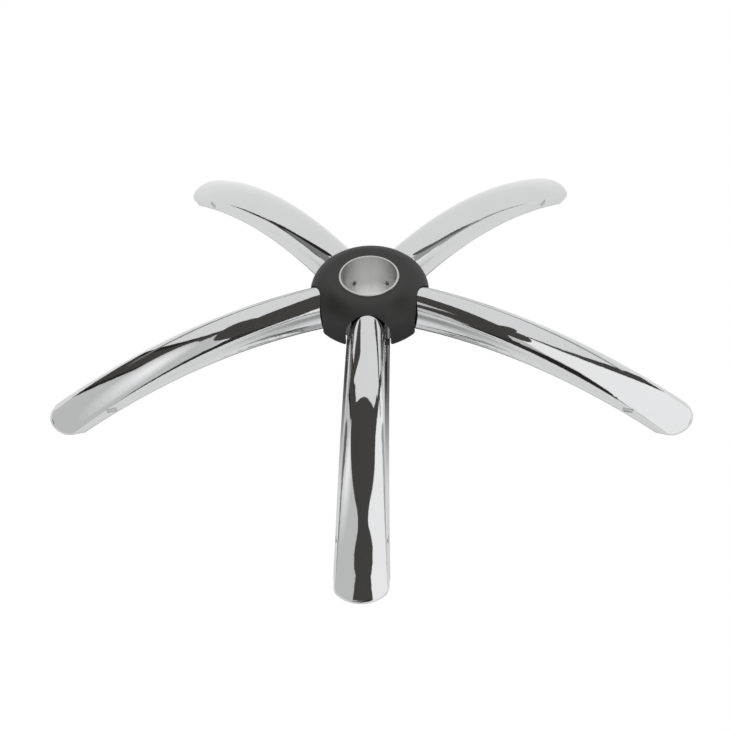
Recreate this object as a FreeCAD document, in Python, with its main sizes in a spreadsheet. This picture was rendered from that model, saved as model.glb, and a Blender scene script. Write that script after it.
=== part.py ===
"""Five star base of an office chair: five pressed channel legs welded to a socket tube.

Heights in the sheet are measured from the floor plane that the leg ends are cut to.
The finished pieces are placed with the middle of the socket's mouth at the origin, +Z up.
"""
import FreeCAD, Part
import math
import os

import Sketcher

# Driving sizes in millimetres
SIZES = {
    # Overall
    "leg_tip_radius": 300.0,
    "leg_root_radius": 16.0,
    "hub_height": 91.0,
    # Crown line of a leg, below the hub's top
    "leg_crown_drop": 6.0,
    "leg_mid_drop": 23.4,
    # Section of a leg: half widths, arch, flared skirt and wall
    "leg_root_half_width": 14.8,
    "leg_mid_half_width": 18.6,
    "leg_tip_half_width": 24.0,
    "leg_root_flat": 0.8,
    "leg_mid_flat": 4.6,
    "leg_tip_flat": 11.5,
    "leg_root_shoulder": 11.5,
    "leg_tip_shoulder": 8.0,
    "leg_root_skirt": 15.2,
    "leg_tip_skirt": 2.4,
    "leg_root_flare": 4.1,
    "leg_tip_flare": 0.4,
    "leg_wall": 2.0,
    "leg_mitre_gap": 0.6,
    # Socket tube for the gas spring
    "mouth_radius": 25.2,
    "mouth_length": 24.0,
    "seat_taper": 0.8,
    "tube_wall": 1.8,
    "tube_length": 59.0,
    "tube_edge": 0.5,
    "drain_hole_radius": 2.5,
    "drain_hole_depth": 28.0,
    # Moulded hub cover
    "cover_reach": 26.2,
    "cover_shoulder": 18.8,
    "cover_drop": 0.8,
    "cover_height": 37.4,
    "cover_wall": 2.5,
    "cover_tube_gap": 0.25,
    "cover_crown_gap": 0.3,
    "cover_side_gap": 0.6,
    "cover_corner": 2.0,
    # Castor sockets and the plates that carry them
    "castor_setback": 54.0,
    "socket_bore_radius": 5.6,
    "socket_wall": 2.0,
    "socket_edge": 0.6,
    "socket_floor_gap": 1.0,
    "socket_crown_gap": 1.0,
    "plate_thickness": 2.5,
    "plate_back": 9.0,
    "plate_nose": 12.0,
    "plate_corner": 6.0,
    "plate_side_gap": 3.0,
    "plate_seat": 6.2,
    "plate_weld_gap": 0.1,
    "tab_half_width": 4.0,
    "tab_gap": 0.2,
}

# Legs in order about the tube's axis, and the angle of each
LEG_NAMES = ("front", "right", "back_right", "back_left", "left")
LEGS = {name: 360.0 / len(LEG_NAMES) * number - 90.0 for number, name in enumerate(LEG_NAMES)}

# Fractions of the leg's run, from root to tip, that have a section of their own
STATIONS = (0.0, 0.22, 0.44, 0.66, 0.88, 1.1)

# Numbers that sketches give to the points of an edge and to their own axes
_, START, END, CENTRE = range(4)
_, HEIGHT_AXIS = range(-1, -3, -1)
ORIGIN = (-1, START)

# Places that several pieces share
HUB_CROWN = "(Sizes.hub_height - Sizes.leg_crown_drop)"
MID_CROWN = "(Sizes.hub_height - Sizes.leg_mid_drop)"
TUBE_RADIUS = "(Sizes.mouth_radius + Sizes.tube_wall)"
COVER_RADIUS = f"({TUBE_RADIUS} + Sizes.cover_reach)"
COVER_TOP = "(Sizes.hub_height - Sizes.cover_drop)"
COVER_BOTTOM = f"({COVER_TOP} - Sizes.cover_height)"
CASTOR_RADIUS = "(Sizes.leg_tip_radius - Sizes.castor_setback)"
SOCKET_RADIUS = "(Sizes.socket_bore_radius + Sizes.socket_wall)"

doc = FreeCAD.newDocument("five_star_base")
sheet = doc.addObject("Spreadsheet::Sheet", "Sizes")
for row, (alias, number) in enumerate(SIZES.items(), start=1):
    sheet.set(f"A{row}", alias)
    sheet.set(f"B{row}", str(number))
    sheet.setAlias(f"B{row}", alias)
doc.recompute()


def amount(expression):
    """Value of an expression over the sheet's sizes."""
    return float(sheet.evalExpression(expression))


def origin_feature(body, role):
    """Origin plane or axis of a body, found by its role."""
    return next(item for item in body.Origin.OriginFeatures if item.Role == role)


def sketch_on(body, role, name):
    """New sketch on one of the body's origin planes."""
    sketch = body.newObject("Sketcher::SketchObject", name)
    sketch.AttachmentSupport = (origin_feature(body, role), [""])
    sketch.MapMode = "FlatFace"
    return sketch


def dimension(sketch, kind, places, expression):
    """Dimension in a sketch that follows an expression over the sizes."""
    index = sketch.addConstraint(Sketcher.Constraint(kind, *places, amount(expression)))
    sketch.setExpression(f"Constraints[{index}]", expression)


def locate(sketch, corner, place):
    """Tie a point of a sketch to the expressions of its two coordinates."""
    for kind, expression in zip(("DistanceX", "DistanceY"), place):
        if amount(expression) >= 0:
            dimension(sketch, kind, (*ORIGIN, *corner), expression)
        else:
            dimension(sketch, kind, (*corner, *ORIGIN), f"-({expression})")


def arc_between(start, end, radius):
    """Anticlockwise arc of the shorter kind, and whether it runs from start to end.

    A negative radius bends the arc the other way.
    """
    along = end - start
    middle = (start + end) * 0.5
    rise = math.sqrt(max(radius * radius - along.Length * along.Length / 4, 0.0))
    side = FreeCAD.Vector(-along.y, along.x, 0).normalize()
    centre = middle + side * math.copysign(rise, radius)
    first, last = (start, end) if radius > 0 else (end, start)
    angles = [math.atan2(point.y - centre.y, point.x - centre.x) for point in (first, last)]
    circle = Part.Circle(centre, FreeCAD.Vector(0, 0, 1), abs(radius))
    return Part.ArcOfCircle(circle, *angles), radius > 0


def draw_outline(sketch, places, arcs=None):
    """Closed outline through places given as expressions.

    Args:
        places: pairs of expressions, one pair per corner, in order.
        arcs: radius expression for each edge, by number, that is an arc. A leading minus
            sign bends it clockwise.
    """
    arcs = arcs or {}
    corners = [FreeCAD.Vector(amount(x), amount(y), 0) for x, y in places]
    ends = []
    for number, start in enumerate(corners):
        end = corners[(number + 1) % len(corners)]
        if number in arcs:
            edge, forward = arc_between(start, end, amount(arcs[number]))
        else:
            edge, forward = Part.LineSegment(start, end), True
        sketch.addGeometry(edge, False)
        ends.append((START, END) if forward else (END, START))
    for number, place in enumerate(places):
        before = (number - 1) % len(places)
        join = (before, ends[before][1], number, ends[number][0])
        sketch.addConstraint(Sketcher.Constraint("Coincident", *join))
        locate(sketch, (number, ends[number][0]), place)
    for number, radius in arcs.items():
        dimension(sketch, "Radius", (number,), radius.lstrip("-"))


def draw_circle(sketch, radius, height="0"):
    """Circle on the sketch's upright axis, at a height."""
    centre = FreeCAD.Vector(0, amount(height), 0)
    circle = Part.Circle(centre, FreeCAD.Vector(0, 0, 1), amount(radius))
    sketch.addGeometry(circle, False)
    locate(sketch, (0, CENTRE), ("0", height))
    dimension(sketch, "Radius", (0,), radius)


def cut_through(body, sketch, name, symmetric=False):
    """Pocket right through, below the sketch's plane or to both sides of it."""
    pocket = body.newObject("PartDesign::Pocket", name)
    pocket.Profile = sketch
    pocket.Type = "ThroughAll"
    if symmetric:
        pocket.SideType = "Symmetric"
    return pocket


def cut_outward(body, sketch, name, reach):
    """Pocket along the sketch's normal, as far as a reach."""
    pocket = body.newObject("PartDesign::Pocket", name)
    pocket.Profile = sketch
    pocket.Reversed = True
    pocket.setExpression("Length", reach)
    return pocket


def turn(body, sketch, name):
    """Full revolution of a sketch about its upright axis."""
    feature = body.newObject("PartDesign::Revolution", name)
    feature.Profile = sketch
    feature.ReferenceAxis = (sketch, ["V_Axis"])
    feature.Angle = 360.0
    return feature


def repeat_per_leg(body, feature, name):
    """One copy of a feature for each leg, about the tube's axis."""
    pattern = body.newObject("PartDesign::PolarPattern", name)
    pattern.Originals = [feature]
    pattern.Axis = (origin_feature(body, "Z_Axis"), [""])
    pattern.Angle = 360.0
    pattern.Occurrences = len(LEGS)
    body.Tip = pattern
    return pattern


def new_piece(label, angle, radius="0", height="-Sizes.hub_height"):
    """Body of one piece, turned about the tube's axis and set out at a radius."""
    body = doc.addObject("PartDesign::Body", label)
    body.Label = label
    body.Placement.Rotation = FreeCAD.Rotation(FreeCAD.Vector(0, 0, 1), angle)
    body.setExpression("Placement.Base.x", f"({radius}) * cos({angle})")
    body.setExpression("Placement.Base.y", f"({radius}) * sin({angle})")
    body.setExpression("Placement.Base.z", height)
    return body


def fraction_at(radius):
    """Fraction of the leg's run at a radius."""
    return f"((({radius}) - Sizes.leg_root_radius) / (Sizes.leg_tip_radius - Sizes.leg_root_radius))"


def leg_radius(run):
    """Radius at a fraction of the leg's run."""
    return f"(Sizes.leg_root_radius + (Sizes.leg_tip_radius - Sizes.leg_root_radius) * {run})"


def leg_size(name, run):
    """Section size that changes evenly from root to tip."""
    return f"(Sizes.leg_root_{name} + (Sizes.leg_tip_{name} - Sizes.leg_root_{name}) * {run})"


def leg_bowed_size(name, run):
    """Section size on a parabola through its values at root, middle and tip."""
    return (
        f"(Sizes.leg_root_{name} * (1 - {run}) * (1 - 2 * {run})"
        f" + Sizes.leg_mid_{name} * 4 * {run} * (1 - {run})"
        f" + Sizes.leg_tip_{name} * {run} * (2 * {run} - 1))"
    )


def leg_half_width(run):
    """Half width at the foot of the arch."""
    return leg_bowed_size("half_width", run)


def leg_arch(run):
    """Height of the arch: a half circle, flattened."""
    return f"({leg_half_width(run)} - {leg_bowed_size('flat', run)})"


def leg_crown(run):
    """Height of the crown: a parabola through root and middle that meets the floor at the tip."""
    return (
        f"({HUB_CROWN} * (1 - {run}) * (1 - 2 * {run})"
        f" + {MID_CROWN} * 4 * {run} * (1 - {run}))"
    )


def leg_upright_wall(run):
    """Wall measured straight down through the sloping crown."""
    fall = (
        f"(({HUB_CROWN} * (4 * {run} - 3) + {MID_CROWN} * (4 - 8 * {run}))"
        " / (Sizes.leg_tip_radius - Sizes.leg_root_radius))"
    )
    return f"(Sizes.leg_wall * sqrt(1 + {fall} ^ 2))"


def leg_rim(run):
    """Height of the skirt's lower edge."""
    return f"({leg_crown(run)} - {leg_arch(run)} - {leg_size('skirt', run)})"


def outside_section(run):
    """Sizes of the leg's outer skin at a fraction of its run."""
    return {
        "crown": leg_crown(run),
        "half_width": leg_half_width(run),
        "arch": leg_arch(run),
        "shoulder": leg_size("shoulder", run),
        "skirt": leg_size("skirt", run),
        "flare": leg_size("flare", run),
    }


def inside_section(run):
    """Sizes of the leg's hollow, which runs one wall deeper than the skirt's edge."""
    wall = leg_upright_wall(run)
    skirt = leg_size("skirt", run)
    depth = f"({skirt} + Sizes.leg_wall)"
    return {
        "crown": f"({leg_crown(run)} - {wall})",
        "half_width": f"({leg_half_width(run)} - Sizes.leg_wall)",
        "arch": f"({leg_arch(run)} - {wall})",
        "shoulder": f"({leg_size('shoulder', run)} - Sizes.leg_wall)",
        "skirt": depth,
        "flare": f"({leg_size('flare', run)} * ({depth} / {skirt}) ^ 2)",
    }


def draw_bell(sketch, section):
    """Bell section of a leg: a three-centred arch on a skirt that flares out.

    The crown is at the sketch's origin.
    """
    half, arch, shoulder, skirt, flare = (
        amount(section[name]) for name in ("half_width", "arch", "shoulder", "skirt", "flare")
    )
    inset = half - shoulder
    crown_radius = (inset**2 + arch**2 - shoulder**2) / (2 * (arch - shoulder))
    flare_radius = (flare**2 + skirt**2) / (2 * flare)
    lean = math.atan2(crown_radius - arch, inset)
    sweep = math.asin(skirt / flare_radius)
    normal = FreeCAD.Vector(0, 0, 1)

    def arc(x, y, radius, first, last):
        return Part.ArcOfCircle(Part.Circle(FreeCAD.Vector(x, y, 0), normal, radius), first, last)

    foot = FreeCAD.Vector(half + flare, -arch - skirt, 0)
    mirrored_foot = FreeCAD.Vector(-foot.x, foot.y, 0)
    edges = [
        Part.LineSegment(mirrored_foot, foot),
        arc(half + flare_radius, -arch, flare_radius, math.pi, math.pi + sweep),
        arc(inset, -arch, shoulder, 0.0, lean),
        arc(0.0, -crown_radius, crown_radius, lean, math.pi - lean),
        arc(-inset, -arch, shoulder, math.pi - lean, math.pi),
        arc(-half - flare_radius, -arch, flare_radius, -sweep, 0.0),
    ]
    sketch.addGeometry(edges, False)
    bottom, right_flare, right, crown, left, left_flare = range(len(edges))
    for rule in (
        ("Coincident", bottom, END, right_flare, END),
        ("Tangent", right_flare, START, right, START),
        ("Tangent", right, END, crown, START),
        ("Tangent", crown, END, left, START),
        ("Tangent", left, END, left_flare, END),
        ("Coincident", left_flare, START, bottom, START),
        ("Symmetric", bottom, START, bottom, END, HEIGHT_AXIS),
        ("Symmetric", right, START, left, END, HEIGHT_AXIS),
        ("Symmetric", right, END, left, START, HEIGHT_AXIS),
        ("PointOnObject", *ORIGIN, crown),
        ("Horizontal", right, CENTRE, right, START),
    ):
        sketch.addConstraint(Sketcher.Constraint(*rule))
    dimension(sketch, "DistanceX", (*ORIGIN, right, START), section["half_width"])
    dimension(sketch, "DistanceY", (right, START, *ORIGIN), section["arch"])
    dimension(sketch, "DistanceX", (right, START, bottom, END), section["flare"])
    dimension(sketch, "DistanceY", (bottom, END, right, START), section["skirt"])
    dimension(sketch, "Radius", (right,), section["shoulder"])


def loft_along_leg(body, kind, name, section_at):
    """Loft through one bell section at each station of the leg."""
    sketches = []
    for number, run in enumerate(STATIONS):
        section = section_at(f"({run})")
        sketch = sketch_on(body, "YZ_Plane", f"{name}_section_{number}")
        sketch.setExpression("AttachmentOffset.Base.y", section["crown"])
        sketch.setExpression("AttachmentOffset.Base.z", leg_radius(f"({run})"))
        draw_bell(sketch, section)
        sketches.append(sketch)
    loft = body.newObject(kind, name)
    loft.Profile = sketches[0]
    loft.Sections = sketches[1:]
    return loft


CASTOR_RUN = fraction_at(CASTOR_RADIUS)
COVER_RUN = fraction_at(COVER_RADIUS)
SHOULDER_RUN = fraction_at(f"{COVER_RADIUS} - Sizes.cover_shoulder / 2")
PLATE_TOP = f"({leg_rim(CASTOR_RUN)} + Sizes.plate_seat)"


def make_leg(label, angle):
    """Channel leg: lofted shell, cut at the floor, coped to the tube, mitred and slotted for a plate."""
    body = new_piece(label, angle)
    loft_along_leg(body, "PartDesign::AdditiveLoft", "skin", outside_section)
    loft_along_leg(body, "PartDesign::SubtractiveLoft", "hollow", inside_section)

    floor = sketch_on(body, "XY_Plane", "floor_outline")
    far = "2 * Sizes.leg_tip_radius"
    side = "4 * Sizes.leg_tip_half_width"
    draw_outline(floor, [("0", f"-{side}"), (far, f"-{side}"), (far, side), ("0", side)])
    cut_through(body, floor, "floor_cut")

    cope = sketch_on(body, "XY_Plane", "cope_outline")
    draw_circle(cope, TUBE_RADIUS)
    cut_through(body, cope, "tube_cope", symmetric=True)

    near = f"({TUBE_RADIUS} / 2)"
    outer = f"(2 * {TUBE_RADIUS})"
    half_pitch = 180.0 / len(LEGS)
    setback = f"Sizes.leg_mitre_gap / (2 * cos({half_pitch}))"
    mitre_end = f"({outer} * tan({half_pitch}) - {setback})"
    mitre_start = f"({near} * tan({half_pitch}) - {setback})"
    for hand, sign in (("left", ""), ("right", "-")):
        mitre = sketch_on(body, "XY_Plane", f"mitre_{hand}")
        places = [(near, sign + mitre_start), (outer, sign + mitre_end), (near, sign + mitre_end)]
        draw_outline(mitre, places)
        cut_through(body, mitre, f"mitre_{hand}_cut", symmetric=True)

    slot = sketch_on(body, "XZ_Plane", "slot_outline")
    inner = f"({CASTOR_RADIUS} - Sizes.tab_half_width - Sizes.tab_gap)"
    far = f"({CASTOR_RADIUS} + Sizes.tab_half_width + Sizes.tab_gap)"
    low = f"({PLATE_TOP} - Sizes.plate_thickness - Sizes.tab_gap)"
    draw_outline(slot, [(inner, low), (far, low), (far, PLATE_TOP), (inner, PLATE_TOP)])
    cut_through(body, slot, "slot_cut", symmetric=True)
    return body


def make_tube():
    """Socket tube: straight mouth above a taper seat, with a drain hole in front of each leg."""
    body = new_piece("hub_tube", LEGS["front"])
    wall = sketch_on(body, "XZ_Plane", "wall")
    foot = "(Sizes.hub_height - Sizes.tube_length)"
    draw_outline(wall, [
        ("Sizes.mouth_radius", "Sizes.hub_height"),
        ("Sizes.mouth_radius", "Sizes.hub_height - Sizes.mouth_length"),
        ("Sizes.mouth_radius - Sizes.seat_taper", foot),
        (f"{TUBE_RADIUS} - Sizes.tube_edge", foot),
        (TUBE_RADIUS, f"{foot} + Sizes.tube_edge"),
        (TUBE_RADIUS, "Sizes.hub_height - Sizes.tube_edge"),
        (f"{TUBE_RADIUS} - Sizes.tube_edge", "Sizes.hub_height"),
    ])
    turn(body, wall, "turned_wall")

    hole = sketch_on(body, "YZ_Plane", "drain_hole")
    draw_circle(hole, "Sizes.drain_hole_radius", "Sizes.hub_height - Sizes.drain_hole_depth")
    drain = cut_outward(body, hole, "drain_hole_cut", f"2 * {TUBE_RADIUS}")
    repeat_per_leg(body, drain, "drain_holes")
    return body


def make_cover():
    """Moulded cover: a shell with a round shoulder and an arched opening over each leg."""
    body = new_piece("hub_cover", LEGS["front"])
    shell = sketch_on(body, "XZ_Plane", "shell")
    hole = f"({TUBE_RADIUS} + Sizes.cover_tube_gap)"
    spring = f"({COVER_TOP} - Sizes.cover_shoulder)"
    inset = f"({COVER_RADIUS} - Sizes.cover_shoulder)"
    inner = f"({COVER_RADIUS} - Sizes.cover_wall)"
    under = f"({COVER_TOP} - Sizes.cover_wall)"
    places = [
        (hole, COVER_TOP),
        (hole, under),
        (inset, under),
        (inner, spring),
        (inner, COVER_BOTTOM),
        (COVER_RADIUS, COVER_BOTTOM),
        (COVER_RADIUS, spring),
        (inset, COVER_TOP),
    ]
    draw_outline(shell, places, {2: "-(Sizes.cover_shoulder - Sizes.cover_wall)", 6: "Sizes.cover_shoulder"})
    turn(body, shell, "turned_shell")

    opening = sketch_on(body, "YZ_Plane", "opening")
    half = f"({leg_half_width(COVER_RUN)} + {leg_size('flare', COVER_RUN)} + Sizes.cover_side_gap)"
    wide = f"({half} + Sizes.cover_corner)"
    crown = f"({leg_crown(SHOULDER_RUN)} + Sizes.cover_crown_gap)"
    arch_spring = f"({crown} - {half})"
    corner = f"({COVER_BOTTOM} + Sizes.cover_corner)"
    places = [
        (f"-{wide}", "0"),
        (wide, "0"),
        (wide, COVER_BOTTOM),
        (half, corner),
        (half, arch_spring),
        ("0", crown),
        (f"-{half}", arch_spring),
        (f"-{half}", corner),
        (f"-{wide}", COVER_BOTTOM),
    ]
    arcs = {2: "-Sizes.cover_corner", 4: half, 5: half, 7: "-Sizes.cover_corner"}
    draw_outline(opening, places, arcs)
    cut = cut_outward(body, opening, "opening_cut", f"2 * {COVER_RADIUS}")
    repeat_per_leg(body, cut, "openings")
    return body


def make_socket(label, angle):
    """Sleeve for a castor's stem, standing between the floor plane and the leg's crown."""
    body = new_piece(label, angle, CASTOR_RADIUS)
    outer_run = fraction_at(f"{CASTOR_RADIUS} + {SOCKET_RADIUS}")
    top = f"({leg_crown(outer_run)} - {leg_upright_wall(outer_run)} - Sizes.socket_crown_gap)"
    foot = "Sizes.socket_floor_gap"
    wall = sketch_on(body, "XZ_Plane", "wall")
    draw_outline(wall, [
        ("Sizes.socket_bore_radius", foot),
        (f"{SOCKET_RADIUS} - Sizes.socket_edge", foot),
        (SOCKET_RADIUS, f"{foot} + Sizes.socket_edge"),
        (SOCKET_RADIUS, f"{top} - Sizes.socket_edge"),
        (f"{SOCKET_RADIUS} - Sizes.socket_edge", top),
        ("Sizes.socket_bore_radius", top),
    ])
    turn(body, wall, "turned_wall")
    return body


def make_plate(label, angle):
    """Cross plate around a sleeve, with round corners and a tab in a slot of each side of the leg."""
    body = new_piece(label, angle, CASTOR_RADIUS)
    half = f"({leg_half_width(CASTOR_RUN)} - Sizes.leg_wall - Sizes.plate_side_gap)"
    tab_end = leg_half_width(CASTOR_RUN)
    tab = "Sizes.tab_half_width"
    corner = "(Sizes.plate_nose - Sizes.plate_corner)"
    corner_side = f"({half} - Sizes.plate_corner)"
    outline = sketch_on(body, "XY_Plane", "outline")
    outline.setExpression("AttachmentOffset.Base.z", f"{PLATE_TOP} - Sizes.plate_thickness")
    places = [
        ("-Sizes.plate_back", f"-{half}"),
        (f"-{tab}", f"-{half}"),
        (f"-{tab}", f"-{tab_end}"),
        (tab, f"-{tab_end}"),
        (tab, f"-{half}"),
        (corner, f"-{half}"),
        ("Sizes.plate_nose", f"-{corner_side}"),
        ("Sizes.plate_nose", corner_side),
        (corner, half),
        (tab, half),
        (tab, tab_end),
        (f"-{tab}", tab_end),
        (f"-{tab}", half),
        ("-Sizes.plate_back", half),
    ]
    draw_outline(outline, places, {5: "Sizes.plate_corner", 7: "Sizes.plate_corner"})
    blank = body.newObject("PartDesign::Pad", "blank")
    blank.Profile = outline
    blank.setExpression("Length", "Sizes.plate_thickness")

    hole = sketch_on(body, "XY_Plane", "sleeve_hole")
    draw_circle(hole, f"{SOCKET_RADIUS} + Sizes.plate_weld_gap")
    cut_through(body, hole, "sleeve_hole_cut", symmetric=True)
    return body


def make_per_leg(make, label, radius="0"):
    """One piece for each leg: the first is modelled and the others are copies of it."""
    made = []
    for name, angle in LEGS.items():
        if not made:
            made.append(make(f"{label}_{name}", angle))
            continue
        body = new_piece(f"{label}_{name}", angle, radius)
        copy = body.newObject("PartDesign::FeatureBase", f"{label}_{name}_copy")
        copy.BaseFeature = made[0]
        body.Tip = copy
        made.append(body)
    return made


pieces = [make_tube(), make_cover()]
pieces += make_per_leg(make_leg, "leg")
pieces += make_per_leg(make_socket, "castor_socket", CASTOR_RADIUS)
pieces += make_per_leg(make_plate, "socket_plate", CASTOR_RADIUS)
doc.recompute()

for item in doc.Objects:
    if {"Invalid", "Error"} & set(item.State):
        raise RuntimeError(f"{item.Name} did not build: {item.State}")
for piece in pieces:
    if piece.Shape.isNull() or not piece.Shape.isValid() or len(piece.Shape.Solids) != 1:
        raise RuntimeError(f"{piece.Label} is not one valid solid")

os.makedirs("parts", exist_ok=True)
for piece in pieces:
    piece.Shape.exportStep(f"parts/{piece.Label}.step")
    print(f"{piece.Label}: {piece.Shape.Volume / 1000:.2f} cm3")
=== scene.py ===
"""Looks of an office chair five star base: chromed legs, zinc grey socket and dark hub cover."""
import logging
import math
from dataclasses import dataclass, field
from enum import Enum
from typing import Iterable, Sequence

import bpy
from mathutils import Matrix, Vector


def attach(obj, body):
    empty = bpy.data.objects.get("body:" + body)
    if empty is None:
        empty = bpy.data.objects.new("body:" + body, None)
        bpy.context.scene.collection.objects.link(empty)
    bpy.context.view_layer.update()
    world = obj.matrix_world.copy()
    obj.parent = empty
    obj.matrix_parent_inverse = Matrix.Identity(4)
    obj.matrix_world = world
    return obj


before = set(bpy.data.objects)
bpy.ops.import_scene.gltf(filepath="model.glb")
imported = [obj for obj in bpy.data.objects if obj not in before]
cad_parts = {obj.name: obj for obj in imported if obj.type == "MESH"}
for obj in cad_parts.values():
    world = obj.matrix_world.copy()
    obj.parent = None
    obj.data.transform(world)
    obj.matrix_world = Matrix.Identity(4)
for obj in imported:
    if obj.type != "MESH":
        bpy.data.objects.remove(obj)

logging.basicConfig(level=logging.INFO, format="%(levelname)s %(message)s")
LOG = logging.getLogger("five_star_base")

Pair = tuple[float, float]
Triple = tuple[float, float, float]
Colour = Triple

MM = 0.001
FLOOR_HEIGHT = -91.0 * MM
PHOTO_WIDTH = 730
SENSOR_WIDTH = 36.0
BLACK: Colour = (0.0, 0.0, 0.0)
WHITE: Colour = (1.0, 1.0, 1.0)
SIDEWAYS = Vector((1.0, 0.0, 0.0))
BACKWARD = Vector((0.0, 1.0, 0.0))
UPWARD = Vector((0.0, 0.0, 1.0))


class Slot(Enum):
    """Material slots of the record."""

    CHROME = "chromed_steel"
    ZINC = "zinc_steel"
    PLASTIC = "dark_plastic"


class Leg(Enum):
    """Legs by their angle about the tube's axis, in degrees."""

    FRONT = -90.0
    RIGHT = -18.0
    BACK_RIGHT = 54.0
    BACK_LEFT = 126.0
    LEFT = 198.0

    @property
    def node_suffix(self) -> str:
        """End of the node names of this leg."""
        return self.name.lower()


def circle(count: int) -> list[float]:
    """Angles of a full turn in even steps, without the last one."""
    return [2 * math.pi * number / count for number in range(count)]


def steps(count: int) -> list[float]:
    """Shares from 0 to 1 in even steps, with both ends."""
    return [number / count for number in range(count + 1)]


@dataclass
class Shader:
    """Material under construction, with short ways to add and join nodes."""

    name: str
    material: bpy.types.Material = field(init=False)
    surface: bpy.types.Node = field(init=False)

    def __post_init__(self) -> None:
        """Make the material with its own principled shader."""
        self.material = bpy.data.materials.new(self.name)
        self.material.use_nodes = True
        self.surface = self.material.node_tree.nodes["Principled BSDF"]

    def add(self, kind: str, **settings: object) -> bpy.types.Node:
        """Add a node.

        Args:
            kind: Blender's node type.
            settings: properties of the node, or input values by socket name.

        Returns:
            The new node.
        """
        node = self.material.node_tree.nodes.new(kind)
        for key, value in settings.items():
            if hasattr(node, key):
                setattr(node, key, value)
            else:
                node.inputs[key.replace("_", " ").title()].default_value = value
        return node

    def join(self, source: bpy.types.NodeSocket, target: bpy.types.NodeSocket) -> None:
        """Link an output to an input."""
        self.material.node_tree.links.new(source, target)

    def set(self, **values: object) -> None:
        """Set inputs of the principled shader by name."""
        for key, value in values.items():
            self.surface.inputs[key.replace("_", " ").title()].default_value = value

    def set_specular(self, level: float) -> None:
        """Set how much the surface mirrors besides its own colour."""
        self.surface.inputs["Specular IOR Level"].default_value = level

    def feed(self, name: str, source: bpy.types.NodeSocket) -> None:
        """Link an output to an input of the principled shader."""
        self.join(source, self.surface.inputs[name])

    def place(self, scale: Sequence[float] = (1.0, 1.0, 1.0)) -> bpy.types.NodeSocket:
        """Coordinates in the part's own frame.

        Args:
            scale: stretch along each axis.

        Returns:
            The stretched coordinates.
        """
        coordinates = self.add("ShaderNodeTexCoord")
        mapping = self.add("ShaderNodeMapping")
        mapping.inputs["Scale"].default_value = scale
        self.join(coordinates.outputs["Object"], mapping.inputs["Vector"])
        return mapping.outputs["Vector"]

    def noise(self, where: bpy.types.NodeSocket, scale: float, detail: float = 2.0) -> bpy.types.NodeSocket:
        """Grey noise.

        Args:
            where: coordinates.
            scale: waves in a metre.
            detail: how many finer layers are added.

        Returns:
            The grey values.
        """
        node = self.add("ShaderNodeTexNoise", scale=scale, detail=detail)
        self.join(where, node.inputs["Vector"])
        return node.outputs["Fac"]

    def spread(
        self, value: bpy.types.NodeSocket, low: float, high: float, source: Pair = (0.3, 0.7)
    ) -> bpy.types.NodeSocket:
        """Map a value to a new range.

        Args:
            value: value to map.
            low: result at the start of the source range.
            high: result at its end.
            source: range of the value.

        Returns:
            The mapped value.
        """
        node = self.add("ShaderNodeMapRange")
        numbers = {"From Min": source[0], "From Max": source[1], "To Min": low, "To Max": high}
        for key, number in numbers.items():
            node.inputs[key].default_value = number
        self.join(value, node.inputs["Value"])
        return node.outputs["Result"]

    def blend(self, factor: bpy.types.NodeSocket, low: Colour, high: Colour) -> bpy.types.NodeSocket:
        """Colour between two plain ones.

        Args:
            factor: share of the second colour.
            low: first colour.
            high: second colour.

        Returns:
            The mixed colour.
        """
        node = self.add("ShaderNodeMix", data_type="RGBA")
        first, second = (item for item in node.inputs if item.type == "RGBA")
        first.default_value = (*low, 1.0)
        second.default_value = (*high, 1.0)
        self.join(factor, node.inputs["Factor"])
        return next(item for item in node.outputs if item.type == "RGBA")

    def fade(
        self, factor: bpy.types.NodeSocket, low: bpy.types.NodeSocket, high: Colour
    ) -> bpy.types.NodeSocket:
        """Colour that fades from a made one to a plain one.

        Args:
            factor: share of the plain colour.
            low: made colour.
            high: plain colour.

        Returns:
            The mixed colour.
        """
        mixed = self.blend(factor, high, high)
        self.join(low, next(item for item in mixed.node.inputs if item.type == "RGBA"))
        return mixed

    def bump(self, height: bpy.types.NodeSocket, distance: float, strength: float) -> bpy.types.Node:
        """Raise the surface by a height map.

        Args:
            height: grey values.
            distance: rise from black to white.
            strength: share of the effect.

        Returns:
            The bump node.
        """
        node = self.add("ShaderNodeBump", strength=strength, distance=distance)
        self.join(height, node.inputs["Height"])
        self.feed("Normal", node.outputs["Normal"])
        return node


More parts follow.
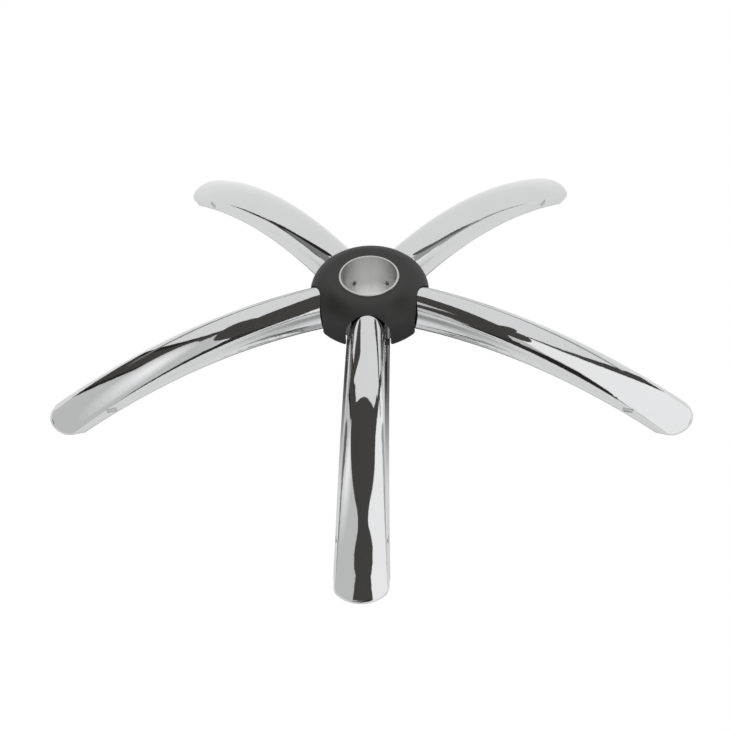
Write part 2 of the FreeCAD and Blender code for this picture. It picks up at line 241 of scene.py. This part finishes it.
@dataclass(frozen=True)
class Chrome:
    """Bright chrome plate with faint smears; where it faces down, as inside the channels, it is rougher and
    its colour darkens as painted shade.

    The mirrored normal is evened out over a small radius, as a polished pressing is.
    """

    tint: Colour = (0.70, 0.705, 0.71)
    smeared_tint: Colour = (0.65, 0.655, 0.66)
    smear_scale: float = 14.0
    smear_detail: float = 3.0
    roughness: Pair = (0.03, 0.07)
    # painted shade: darker colour of the plate where it faces down
    painted_shade_tint: Colour = (0.24, 0.24, 0.245)
    dull_roughness: float = 0.42
    # range of the normal's upward part over which the painted shade and the roughness fade in
    rough_and_shaded_facing: Pair = (-0.75, -0.25)
    ripple: float = 0.004 * MM
    ripple_scale: float = 60.0
    ripple_strength: float = 0.3
    even_radius: float = 2.5 * MM
    even_samples: int = 8

    def material(self) -> bpy.types.Material:
        """Make the finish.

        Returns:
            The material.
        """
        shader = Shader("chrome_plate")
        shader.set(metallic=1.0)
        where = shader.place()
        smears = shader.noise(where, self.smear_scale, self.smear_detail)
        # where the normal faces down the plate gets rougher, and its colour darkens as painted shade on the
        # undersides
        facing = shader.add("ShaderNodeSeparateXYZ")
        shader.join(shader.add("ShaderNodeTexCoord").outputs["Normal"], facing.inputs["Vector"])
        under = shader.spread(facing.outputs["Z"], 1.0, 0.0, self.rough_and_shaded_facing)
        bright = shader.blend(smears, self.tint, self.smeared_tint)
        shader.feed("Base Color", shader.fade(under, bright, self.painted_shade_tint))
        rough = shader.add("ShaderNodeMix", data_type="FLOAT")
        rough.inputs["B"].default_value = self.dull_roughness
        shader.join(under, rough.inputs["Factor"])
        shader.join(shader.spread(smears, *self.roughness), rough.inputs["A"])
        shader.feed("Roughness", rough.outputs["Result"])
        raised = shader.bump(shader.noise(where, self.ripple_scale), self.ripple, self.ripple_strength)
        even = shader.add("ShaderNodeBevel", samples=self.even_samples, radius=self.even_radius)
        shader.join(even.outputs["Normal"], raised.inputs["Normal"])
        return shader.material


@dataclass(frozen=True)
class ZincSteel:
    """Satin zinc plated steel with fine drawn lines."""

    pale: Colour = (0.60, 0.60, 0.59)
    dull: Colour = (0.46, 0.46, 0.455)
    cloud_scale: float = 45.0
    cloud_detail: float = 3.0
    roughness: Pair = (0.32, 0.48)
    line_stretch: Triple = (1.0, 1.0, 12.0)
    line_scale: float = 90.0
    line_detail: float = 4.0
    grain: float = 0.03 * MM
    grain_strength: float = 0.4

    def material(self) -> bpy.types.Material:
        """Make the finish.

        Returns:
            The material.
        """
        shader = Shader("zinc_plate")
        shader.set(metallic=1.0)
        lines = shader.noise(shader.place(self.line_stretch), self.line_scale, self.line_detail)
        clouds = shader.noise(shader.place(), self.cloud_scale, self.cloud_detail)
        shader.feed("Base Color", shader.blend(clouds, self.pale, self.dull))
        shader.feed("Roughness", shader.spread(lines, *self.roughness))
        shader.bump(lines, self.grain, self.grain_strength)
        return shader.material


@dataclass(frozen=True)
class MouldedPlastic:
    """Dark matte plastic with a fine moulded grain."""

    dark: Colour = (0.020, 0.0190, 0.0182)
    pale: Colour = (0.030, 0.0285, 0.0274)
    cloud_scale: float = 60.0
    cloud_detail: float = 3.0
    sheen: float = 0.32
    roughness: Pair = (0.46, 0.58)
    grain: float = 0.05 * MM
    grain_scale: float = 1600.0
    grain_strength: float = 0.5

    def material(self) -> bpy.types.Material:
        """Make the finish.

        Returns:
            The material.
        """
        shader = Shader("moulded_plastic")
        shader.set_specular(self.sheen)
        where = shader.place()
        clouds = shader.noise(where, self.cloud_scale, self.cloud_detail)
        grain = shader.noise(where, self.grain_scale)
        shader.feed("Base Color", shader.blend(clouds, self.dark, self.pale))
        shader.feed("Roughness", shader.spread(clouds, *self.roughness))
        shader.bump(grain, self.grain, self.grain_strength)
        return shader.material


@dataclass
class Finishes:
    """One material for each slot of the record."""

    chrome: Chrome = Chrome()
    zinc: ZincSteel = ZincSteel()
    plastic: MouldedPlastic = MouldedPlastic()
    made: dict[Slot, bpy.types.Material] = field(default_factory=dict)

    def __post_init__(self) -> None:
        """Make the materials."""
        self.made[Slot.CHROME] = self.chrome.material()
        self.made[Slot.ZINC] = self.zinc.material()
        self.made[Slot.PLASTIC] = self.plastic.material()

    def dress(self, names: Iterable[str], slot: Slot) -> None:
        """Give nodes of the CAD part the finish of a slot.

        Args:
            names: nodes to dress.
            slot: slot whose material they take.
        """
        for name in names:
            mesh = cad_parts[name].data
            mesh.materials.clear()
            mesh.materials.append(self.made[slot])
            LOG.info("%s takes %s", name, slot.value)


@dataclass
class Bead:
    """Weld bead swept along a path, with the ripples that a torch leaves.

    Args:
        name: name of the piece.
        path: points along the weld.
        radius: mean radius of the bead.
        closed: whether the path's end joins its start.
        pitch: distance between ripples.
        ripple: share by which the radius swells at a ripple.
        end_share: share of the radius that is left at an open end.
        ripple_steps: stations for each ripple.
        fewest_ripples: ripples on the shortest bead.
        steep: rise of the path above which it counts as upright.
        sides: points around the bead.
    """

    name: str
    path: Sequence[Vector]
    radius: float
    closed: bool = False
    pitch: float = 1.8 * MM
    ripple: float = 0.13
    end_share: float = 0.55
    ripple_steps: int = 4
    fewest_ripples: int = 4
    steep: float = 0.95
    sides: int = 10

    def stations(self) -> list[Vector]:
        """Points at even steps along the path.

        Returns:
            The points, as many to each ripple as ripple_steps says.
        """
        corners = [*self.path, self.path[0]] if self.closed else list(self.path)
        reach = [0.0]
        for near, far in zip(corners, corners[1:]):
            reach.append(reach[-1] + (far - near).length)
        count = max(self.fewest_ripples, round(reach[-1] / self.pitch)) * self.ripple_steps
        places = []
        run = 0
        for step in range(count if self.closed else count + 1):
            goal = reach[-1] * step / count
            while run < len(corners) - 2 and reach[run + 1] < goal:
                run += 1
            share = (goal - reach[run]) / (reach[run + 1] - reach[run])
            places.append(corners[run].lerp(corners[run + 1], share))
        return places

    def ring(self, places: Sequence[Vector], number: int) -> list[Vector]:
        """Points around one station.

        Args:
            places: all stations.
            number: which one.

        Returns:
            As many points as the bead has sides.
        """
        last = len(places) - 1
        before = places[number - 1] if number or self.closed else places[0]
        after = places[(number + 1) % len(places)] if number < last or self.closed else places[last]
        along = (after - before).normalized()
        across = along.cross(UPWARD if abs(along.z) < self.steep else SIDEWAYS).normalized()
        above = across.cross(along)
        swell = 1.0 + self.ripple * math.cos(2 * math.pi * number / self.ripple_steps)
        if not self.closed and number in (0, last):
            swell *= self.end_share
        reach = self.radius * swell
        return [
            places[number] + across * reach * math.cos(turn) + above * reach * math.sin(turn)
            for turn in circle(self.sides)
        ]

    def build(self, finishes: Finishes, slot: Slot) -> bpy.types.Object:
        """Make the bead as a piece of the base.

        Args:
            finishes: materials of the base.
            slot: slot whose material the bead takes.

        Returns:
            The new object.
        """
        places = self.stations()
        points = [point for number in range(len(places)) for point in self.ring(places, number)]
        faces = []
        for number in range(len(places) if self.closed else len(places) - 1):
            near, far = number * self.sides, (number + 1) % len(places) * self.sides
            for side in range(self.sides):
                following = (side + 1) % self.sides
                faces.append((near + side, near + following, far + following, far + side))
        if not self.closed:
            faces.append(tuple(reversed(range(self.sides))))
            faces.append(tuple(range(len(points) - self.sides, len(points))))
        mesh = bpy.data.meshes.new(self.name)
        mesh.from_pydata(points, [], faces)
        mesh.polygons.foreach_set("use_smooth", [True] * len(mesh.polygons))
        mesh.materials.append(finishes.made[slot])
        piece = bpy.data.objects.new(self.name, mesh)
        bpy.context.scene.collection.objects.link(piece)
        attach(piece, "root")
        LOG.info("%s has %d faces", self.name, len(faces))
        return piece


@dataclass
class ChannelLegs:
    """Five chromed legs, each welded to the tube inside its channel.

    The weld's half path is given as distance beside the leg's middle and depth below the tube's mouth.
    """

    tube_radius: float = 27.0 * MM
    weld_radius: float = 1.5 * MM
    weld_stand_off: float = 0.7 * MM
    weld_half: tuple[Pair, ...] = (
        (0.0, 8.3), (2.7, 8.6), (4.8, 9.3), (6.6, 10.3), (8.4, 11.7), (10.1, 13.6),
        (11.4, 15.9), (12.1, 17.9), (12.3, 19.5), (12.5, 22.5), (12.9, 25.5), (13.7, 28.5),
    )

    def dress(self, finishes: Finishes) -> None:
        """Chrome the legs."""
        finishes.dress([f"leg_{leg.node_suffix}" for leg in Leg], Slot.CHROME)

    def build(self, finishes: Finishes) -> None:
        """Weld each leg to the tube.

        Args:
            finishes: materials of the base.
        """
        half = [(beside * MM, depth * MM) for beside, depth in self.weld_half]
        profile = [(-beside, depth) for beside, depth in reversed(half)] + half[1:]
        wall = self.tube_radius + self.weld_stand_off
        for leg in Leg:
            turn = Matrix.Rotation(math.radians(leg.value), 3, "Z")
            path = [
                turn @ Vector((math.sqrt(wall**2 - beside**2), beside, -depth))
                for beside, depth in profile
            ]
            Bead(f"root_weld_{leg.node_suffix}", path, self.weld_radius).build(finishes, Slot.CHROME)


@dataclass
class Hub:
    """Socket tube with its rolled seam, and the moulded cover.

    The seam's line is given as distance from the tube's axis and depth below its mouth, in millimetres.
    """

    seam_line: tuple[Pair, ...] = ((25.4, 1.6), (25.4, 24.0), (24.65, 58.0))
    seam_radius: float = 0.3 * MM
    seam_ripple: float = 0.04

    def dress(self, finishes: Finishes) -> None:
        """Finish the tube and the cover."""
        finishes.dress(["hub_tube"], Slot.ZINC)
        finishes.dress(["hub_cover"], Slot.PLASTIC)

    def build(self, finishes: Finishes) -> None:
        """Lay the tube's inner seam down the back of its bore."""
        path = [Vector((0.0, radius, -depth)) * MM for radius, depth in self.seam_line]
        Bead("tube_seam", path, self.seam_radius, ripple=self.seam_ripple).build(finishes, Slot.ZINC)


@dataclass
class CastorSeats:
    """Sleeves and plates inside the leg ends, welded around each sleeve below its plate."""

    castor_radius: float = 246.0 * MM
    sleeve_radius: float = 7.6 * MM
    plate_depth: float = 73.76 * MM
    weld_radius: float = 1.2 * MM
    weld_points: int = 48

    def dress(self, finishes: Finishes) -> None:
        """Finish sleeves and plates."""
        for leg in Leg:
            names = [f"castor_socket_{leg.node_suffix}", f"socket_plate_{leg.node_suffix}"]
            finishes.dress(names, Slot.ZINC)

    def build(self, finishes: Finishes) -> None:
        """Weld each sleeve to its plate.

        Args:
            finishes: materials of the base.
        """
        reach = self.sleeve_radius + self.weld_radius / 2
        for leg in Leg:
            angle = math.radians(leg.value)
            middle = Vector((math.cos(angle), math.sin(angle), 0.0)) * self.castor_radius
            middle.z = -self.plate_depth - self.weld_radius / 2
            path = [
                middle + Vector((math.cos(turn), math.sin(turn), 0.0)) * reach
                for turn in circle(self.weld_points)
            ]
            bead = Bead(f"sleeve_weld_{leg.node_suffix}", path, self.weld_radius, closed=True)
            bead.build(finishes, Slot.ZINC)


def toward(azimuth: float, elevation: float) -> Vector:
    """Unit vector toward a direction, with azimuth 0 along +Y and 90 along +X, in degrees."""
    turn, rise = math.radians(azimuth), math.radians(elevation)
    return Vector((math.sin(turn) * math.cos(rise), math.cos(turn) * math.cos(rise), math.sin(rise)))


def rounded(outline: Sequence[Pair], passes: int = 2, cut: float = 0.25) -> list[Pair]:
    """Closed outline with its corners cut off step by step.

    Args:
        outline: corners in order.
        passes: how often each corner is cut.
        cut: share of a side that a cut takes at each of its ends.

    Returns:
        The corners of the rounder outline, with the first one again at the end.
    """
    corners = list(outline)
    for _ in range(passes):
        following = corners[1:] + corners[:1]
        corners = [
            (near[0] + (far[0] - near[0]) * share, near[1] + (far[1] - near[1]) * share)
            for near, far in zip(corners, following)
            for share in (cut, 1.0 - cut)
        ]
    return corners + corners[:1]


class Sight(Enum):
    """Rays that meet a sheet of the studio."""

    CAMERA = ("camera",)
    MIRROR = ("glossy",)
    LIGHT = ("glossy", "diffuse", "transmission", "shadow")


RAYS = ("camera", "diffuse", "glossy", "transmission", "volume_scatter", "shadow")


@dataclass(frozen=True)
class Shade:
    """Soft shadow on the floor around a place beside the tube's axis, in metres.

    Args:
        middle: its place.
        inner: half width of its dark middle.
        outer: half width where it ends.
        darkest: light that is left in the middle.
        length: how much longer it is than wide, from front to back.
    """

    middle: Pair
    inner: float
    outer: float
    darkest: float
    length: float = 1.0

    def level(self, shader: Shader) -> bpy.types.NodeSocket:
        """Light that is left.

        Args:
            shader: material of the floor.

        Returns:
            The darkest value inside, and 1 outside.
        """
        reach = shader.add("ShaderNodeVectorMath", operation="DISTANCE")
        shader.join(shader.place((1.0, 1.0 / self.length, 1.0)), reach.inputs[0])
        reach.inputs[1].default_value = (self.middle[0], self.middle[1] / self.length, FLOOR_HEIGHT)
        return shader.spread(reach.outputs["Value"], self.darkest, 1.0, (self.inner, self.outer))


@dataclass(frozen=True)
class Glow:
    """Plain paint and light of a surface of the studio.

    Args:
        strength: light that it gives.
        paint: how pale it is.
        shade: soft shadow on it, if any.
        tint: colour of its light.
    """

    strength: float
    paint: float = 0.0
    shade: Shade | None = None
    tint: Colour = WHITE

    def material(self, name: str) -> bpy.types.Material:
        """Make the paint.

        Args:
            name: name of the material.

        Returns:
            The material.
        """
        shader = Shader(name)
        paint = (self.paint, self.paint, self.paint)
        shader.set(base_color=(*paint, 1.0), roughness=1.0)
        shader.set_specular(0.0)
        shader.set(emission_color=(*self.tint, 1.0), emission_strength=self.strength)
        if self.shade:
            level = self.shade.level(shader)
            light = (self.strength, self.strength, self.strength)
            shader.set(emission_strength=1.0)
            shader.feed("Base Color", shader.blend(level, BLACK, paint))
            shader.feed("Emission Color", shader.blend(level, BLACK, light))
        return shader.material


WARM: Colour = (1.0, 0.93, 0.86)
WARM_DARK = Glow(0.075, tint=WARM)
WARM_BLACK = Glow(0.025, tint=WARM)


@dataclass
class Sheet:
    """Grid of points that becomes one surface of the studio.

    Args:
        name: name of the surface.
        rows: points, row by row.
        glow: paint and light.
        sight: rays that meet it.
    """

    name: str
    rows: list[list[Vector]]
    glow: Glow
    sight: Sight = Sight.MIRROR

    def build(self) -> bpy.types.Object:
        """Make the surface and set which rays meet it.

        Returns:
            The new object.
        """
        wide = len(self.rows[0])
        starts = [
            row * wide + column for row in range(len(self.rows) - 1) for column in range(wide - 1)
        ]
        faces = [(start, start + 1, start + wide + 1, start + wide) for start in starts]
        mesh = bpy.data.meshes.new(self.name)
        mesh.from_pydata([point for row in self.rows for point in row], [], faces)
        mesh.materials.append(self.glow.material(f"{self.name}_paint"))
        sheet = bpy.data.objects.new(self.name, mesh)
        bpy.context.scene.collection.objects.link(sheet)
        for ray in RAYS:
            setattr(sheet, f"visible_{ray}", ray in self.sight.value)
        LOG.info("%s has %d faces", self.name, len(faces))
        return sheet


@dataclass
class Dome:
    """Patch of a dome around the object, from elevation rows.

    Args:
        name: name of the patch.
        rows: elevation, first azimuth and last azimuth of each row, in degrees.
        glow: paint and light.
        distance: radius of the dome.
        sight: rays that meet it.
        columns: faces along a row.
    """

    name: str
    rows: Sequence[Triple]
    glow: Glow
    distance: float = 3.0
    sight: Sight = Sight.MIRROR
    columns: int = 32

    def build(self) -> bpy.types.Object:
        """Make the patch.

        Returns:
            The new object.
        """
        shares = steps(self.columns)
        points = [
            [toward(first + (last - first) * share, rise) * self.distance for share in shares]
            for rise, first, last in self.rows
        ]
        return Sheet(self.name, points, self.glow, self.sight).build()


@dataclass
class Card:
    """Round card that faces the tube's mouth and shows only in the metal.

    Args:
        name: name of the card.
        middle: its place.
        radius: its radius.
        glow: paint and light.
        overhead: rise of its direction above which it counts as above or below the mouth.
        rings: faces from its middle to its edge.
        columns: faces around it.
    """

    name: str
    middle: Vector
    radius: float
    glow: Glow
    overhead: float = 0.9
    rings: int = 4
    columns: int = 40

    def build(self) -> bpy.types.Object:
        """Make the card.

        Returns:
            The new object.
        """
        facing = self.middle.normalized()
        across = facing.cross(BACKWARD if abs(facing.z) > self.overhead else UPWARD).normalized()
        above = across.cross(facing)
        turns = [2 * math.pi * share for share in steps(self.columns)]
        rows = []
        for share in steps(self.rings):
            reach = self.radius * share
            rows.append([
                self.middle + across * reach * math.cos(turn) + above * reach * math.sin(turn)
                for turn in turns
            ])
        return Sheet(self.name, rows, self.glow).build()


@dataclass
class Flag:
    """Level flag above the base, that shows only in the metal.

    Args:
        name: name of the flag.
        height: height above the tube's mouth.
        glow: paint and light.
        middle: point that sees every corner, in millimetres.
        outline: corners beside the tube's axis, in millimetres.
    """

    name: str
    height: float
    glow: Glow
    middle: Pair
    outline: Sequence[Pair]

    def build(self) -> bpy.types.Object:
        """Make the flag.

        Returns:
            The new object.
        """
        corners = rounded(self.outline)
        rows = [
            [Vector((across * MM, along * MM, self.height)) for across, along in row]
            for row in ([self.middle] * len(corners), corners)
        ]
        return Sheet(self.name, rows, self.glow).build()


@dataclass
class FrontCard:
    """Upright card in front of the base, that shows only in the metal.

    Args:
        name: name of the card.
        distance: distance in front of the tube's axis.
        glow: paint and light.
        middle: point that sees every corner, given as the corners are.
        outline: corners as place beside the tube's axis and height above the floor, in millimetres.
    """

    name: str
    distance: float
    glow: Glow
    middle: Pair
    outline: Sequence[Pair]

    def build(self) -> bpy.types.Object:
        """Make the card.

        Returns:
            The new object.
        """
        corners = rounded(self.outline)
        rows = [
            [Vector((across * MM, -self.distance, FLOOR_HEIGHT + high * MM)) for across, high in row]
            for row in ([self.middle] * len(corners), corners)
        ]
        return Sheet(self.name, rows, self.glow).build()


@dataclass(frozen=True)
class Arch:
    """Squarish half ellipse in the leaning plane of the tent's opening.

    Args:
        middle: place of its middle beside the tube's axis.
        half_width: half of its width at the floor.
        height: its height above the floor.
        square: exponent that makes it squarer the smaller it is.
    """

    middle: float
    half_width: float
    height: float
    square: float = 0.85

    def at(self, turn: float) -> Pair:
        """Place on the arch.

        Args:
            turn: angle from the left foot to the right foot.

        Returns:
            Sideways and upward place.
        """
        across, above = math.cos(math.pi - turn), math.sin(math.pi - turn)
        across = math.copysign(abs(across) ** self.square, across)
        above = math.copysign(abs(above) ** self.square, above)
        return self.middle + self.half_width * across, self.height * above


@dataclass
class ArchTent:
    """White tent behind the object, with a dark crescent above its opening.

    Args:
        opening: edge of the tent.
        crescent: outer edge of the crescent.
        front: distance of the opening's foot behind the tube's axis.
        lean: how far the opening leans forward for its height.
        back: distance of the back wall.
        light: paint and light of the tent.
        bands: shares of the crescent's width where its paint changes.
        glows: paint and light of each band.
        columns: faces along the arch.
    """

    opening: Arch = Arch(0.03, 0.40, 1.30)
    crescent: Arch = Arch(-0.035, 0.525, 1.60)
    front: float = 0.28
    lean: float = 0.539
    back: float = 1.4
    light: Glow = Glow(0.93)
    bands: tuple[float, ...] = (0.0, 0.15, 0.8, 1.0)
    glows: tuple[Glow, ...] = (WARM_BLACK, WARM_DARK, WARM_BLACK)
    columns: int = 64

    def place(self, spot: Pair) -> Vector:
        """Point of the opening's plane."""
        sideways, upward = spot
        return Vector((sideways, self.front - self.lean * upward, FLOOR_HEIGHT + upward))

    def build(self) -> None:
        """Make the tent's vault with its back wall, and the crescent."""
        turns = [math.pi * share for share in steps(self.columns)]
        edge = [self.place(self.opening.at(turn)) for turn in turns]
        back = [Vector((point.x, self.back, point.z)) for point in edge]
        foot = [Vector((point.x, self.back, FLOOR_HEIGHT)) for point in edge]
        Sheet("tent", [edge, back, foot], self.light).build()
        rim = [self.place(self.crescent.at(turn)) for turn in turns]
        lines = [[near.lerp(far, band) for near, far in zip(edge, rim)] for band in self.bands]
        for number, glow in enumerate(self.glows):
            Sheet(f"crescent_{number}", lines[number:number + 2], glow).build()


@dataclass
class LeftLight:
    """Soft round light on the left, as cards that get smaller, nearer and brighter.

    Args:
        place: middle of the largest card.
        radius: radius that the cards shrink from.
        shrink: share of the radius that the last card has lost.
        approach: share of the distance that the last card has lost.
        brightest: light of the last card.
        count: number of cards.
    """

    place: Triple = (-0.314, -0.13, 0.15)
    radius: float = 0.15
    shrink: float = 0.8
    approach: float = 0.03
    brightest: float = 1.15
    count: int = 9

    def build(self, surround: float) -> None:
        """Make the cards.

        Args:
            surround: light around them.
        """
        for number in range(1, self.count + 1):
            share = number / self.count
            middle = Vector(self.place) * (1.0 - self.approach * share)
            radius = self.radius * (1.0 - self.shrink * share)
            light = surround + (self.brightest - surround) * share
            Card(f"left_light_{number}", middle, radius, Glow(light)).build()


FLAGS = (
    Flag(
        "front_flag", height=69.0 * MM, glow=WARM_DARK, middle=(2.0, -250.0),
        outline=(
            (-75, -105), (70, -110), (90, -100), (145, -45), (150, -65), (105, -135),
            (100, -195), (25, -265), (85, -290), (80, -325), (55, -350), (90, -370),
            (90, -400), (-75, -400), (-75, -375), (-35, -355), (-75, -315), (-20, -270),
            (-80, -220), (-155, -125), (-155, -45), (-115, -45), (-90, -80),
        ),
    ),
    Flag(
        "right_flag", height=14.0 * MM, glow=WARM_DARK, middle=(90.0, -60.0),
        outline=(
            (40, -15), (66, -28), (81, -35), (104, -48), (131, -64), (149, -64), (151, -78),
            (140, -88), (118, -90), (69, -63), (25, -34), (24, -22), (30, -18),
        ),
    ),
    Flag(
        "left_flag", height=14.0 * MM, glow=WARM_DARK, middle=(-65.0, -62.0),
        outline=(
            (-42, -11), (-62, -26), (-98, -46), (-129, -62), (-114, -71), (-88, -84),
            (-17, -83), (-22, -51), (-26, -18),
        ),
    ),
    Flag(
        "left_gap", height=3.0 * MM, glow=WARM_BLACK, middle=(-165.0, 108.0),
        outline=(
            (-42, 42), (-100, 82), (-160, 115), (-220, 146), (-290, 180),
            (-290, 158), (-220, 126), (-160, 98), (-100, 67), (-50, 38),
        ),
    ),
    Flag(
        "left_gap_grey", height=4.0 * MM, glow=Glow(0.26), middle=(-190.0, 80.0),
        outline=(
            (-56, 44), (-100, 72), (-160, 106), (-240, 138), (-300, 160),
            (-345, 140), (-345, 55), (-200, 36), (-60, 36),
        ),
    ),
    Flag(
        "right_gap", height=3.0 * MM, glow=Glow(0.13), middle=(165.0, 97.0),
        outline=(
            (46, 43), (110, 79), (170, 110), (240, 141), (290, 162),
            (290, 142), (240, 120), (170, 90), (110, 63), (58, 40),
        ),
    ),
    Flag(
        "right_gap_grey", height=4.0 * MM, glow=Glow(0.42), middle=(190.0, 75.0),
        outline=(
            (60, 44), (110, 68), (170, 98), (240, 128), (300, 150),
            (345, 130), (345, 55), (200, 36), (64, 36),
        ),
    ),
)

FRONT_CARD = FrontCard(
    "front_card", distance=0.62, glow=WARM_BLACK, middle=(60.0, 260.0),
    outline=(
        (-230, 60), (-215, 180), (-150, 260), (-95, 340), (-45, 430), (20, 480), (120, 520),
        (230, 600), (305, 560), (305, 420), (265, 300), (205, 180), (160, 60),
    ),
)


@dataclass
class Studio:
    """Pale floor and backdrop, white surroundings and the dark flags that the chrome mirrors.

    The rows of the low domes are elevation, first azimuth and last azimuth on the right, in degrees.
    The left one mirrors them.
    """

    floor_size: float = 30.0
    seen_floor: Glow = Glow(
        1.0, shade=Shade((-6.0 * MM, 74.0 * MM), inner=25.0 * MM, outer=46.0 * MM, darkest=0.06, length=1.3)
    )
    mirrored_floor: Glow = Glow(
        0.42, paint=0.75, shade=Shade((0.0, 0.0), inner=60.0 * MM, outer=170.0 * MM, darkest=0.05)
    )
    backdrop: Glow = Glow(1.0)
    backdrop_distance: float = 20.0
    backdrop_rises: range = range(-10, 91, 10)
    surround: float = 0.70
    right_side: Glow = Glow(1.15)
    right_distance: float = 4.0
    right_rises: range = range(-5, 90, 5)
    right_span: Pair = (2.0, 178.0)
    left_low: Glow = Glow(0.17)
    right_low: Glow = Glow(0.45)
    low_rows: tuple[Triple, ...] = (
        (-1.5, 62.0, 84.0), (4.0, 63.0, 84.0), (9.0, 65.0, 82.0), (14.0, 68.0, 79.0),
    )
    # painted light: a bright card on the floor under the tube, seen only in the metal
    under_tube: Glow = Glow(2.1)
    under_tube_radius: float = 40.0 * MM
    under_tube_lift: float = 1.0 * MM
    left_light: LeftLight = field(default_factory=LeftLight)
    tent: ArchTent = field(default_factory=ArchTent)

    def build_floor(self) -> None:
        """Make the floor, once for the camera and once for the metal, and the backdrop."""
        half = self.floor_size / 2
        corners = [[Vector((x, y, FLOOR_HEIGHT)) for x in (-half, half)] for y in (-half, half)]
        Sheet("seen_floor", corners, self.seen_floor, Sight.CAMERA).build()
        Sheet("mirrored_floor", corners, self.mirrored_floor, Sight.LIGHT).build()
        rows = [(rise, -180.0, 180.0) for rise in self.backdrop_rises]
        Dome("backdrop", rows, self.backdrop, self.backdrop_distance, Sight.CAMERA).build()

    def build_surroundings(self) -> None:
        """Make what only the metal mirrors."""
        rows = [(rise, *self.right_span) for rise in self.right_rises]
        Dome("right_side", rows, self.right_side, self.right_distance).build()
        self.left_light.build(self.surround)
        for flag in FLAGS:
            flag.build()
        Dome("left_low", [(rise, -near, -far) for rise, near, far in self.low_rows], self.left_low).build()
        Dome("right_low", self.low_rows, self.right_low).build()
        FRONT_CARD.build()
        # painted pool of light on the floor under the tube, seen only in the metal
        below = Vector((0.0, 0.0, FLOOR_HEIGHT + self.under_tube_lift))
        Card("under_tube", below, self.under_tube_radius, self.under_tube).build()
        self.tent.build()

    def build_world(self) -> None:
        """Make the white world and show plain tones."""
        world = bpy.data.worlds.new("studio")
        world.use_nodes = True
        background = world.node_tree.nodes["Background"]
        background.inputs["Color"].default_value = (*WHITE, 1.0)
        background.inputs["Strength"].default_value = self.surround
        bpy.context.scene.world = world
        bpy.context.scene.view_settings.view_transform = "Standard"

    def build(self) -> None:
        """Make the whole studio."""
        self.build_floor()
        self.build_surroundings()
        self.build_world()


@dataclass
class PhotoCamera:
    """Camera at the photograph's place, in the part's frame."""

    distance: float = 1862.0 * MM
    elevation: float = 44.2425
    azimuth: float = 3.907
    roll: float = -2.793
    target: Triple = (-7.39 * MM, 0.0, -111.0 * MM)
    focal_pixels: float = 2005.77
    farthest: float = 100.0

    def build(self) -> bpy.types.Object:
        """Make the camera and use it.

        Returns:
            The camera.
        """
        rise, roll = math.radians(self.elevation), math.radians(self.roll)
        turn = Matrix.Rotation(math.radians(self.azimuth), 3, "Z")
        forward = turn @ Vector((0.0, math.cos(rise), -math.sin(rise)))
        level_right = turn @ SIDEWAYS
        level_up = level_right.cross(forward)
        right = level_right * math.cos(roll) + level_up * math.sin(roll)
        up = level_up * math.cos(roll) - level_right * math.sin(roll)
        place = turn @ Vector(self.target) - forward * self.distance
        data = bpy.data.cameras.new("photo_camera")
        data.sensor_width = SENSOR_WIDTH
        data.lens = self.focal_pixels / PHOTO_WIDTH * SENSOR_WIDTH
        data.clip_end = self.farthest
        camera = bpy.data.objects.new("photo_camera", data)
        bpy.context.scene.collection.objects.link(camera)
        axes = Matrix((right, up, -forward)).transposed().to_4x4()
        camera.matrix_world = Matrix.Translation(place) @ axes
        bpy.context.scene.camera = camera
        LOG.info("camera at %s", [round(value, 3) for value in place])
        return camera


def main() -> None:
    """Dress the CAD part without changing its sizes, set the studio and place the camera."""
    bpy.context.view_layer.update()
    finishes = Finishes()
    for assembly in (ChannelLegs(), Hub(), CastorSeats()):
        assembly.dress(finishes)
        assembly.build(finishes)
    Studio().build()
    PhotoCamera().build()


if __name__ == "__main__":
    main()
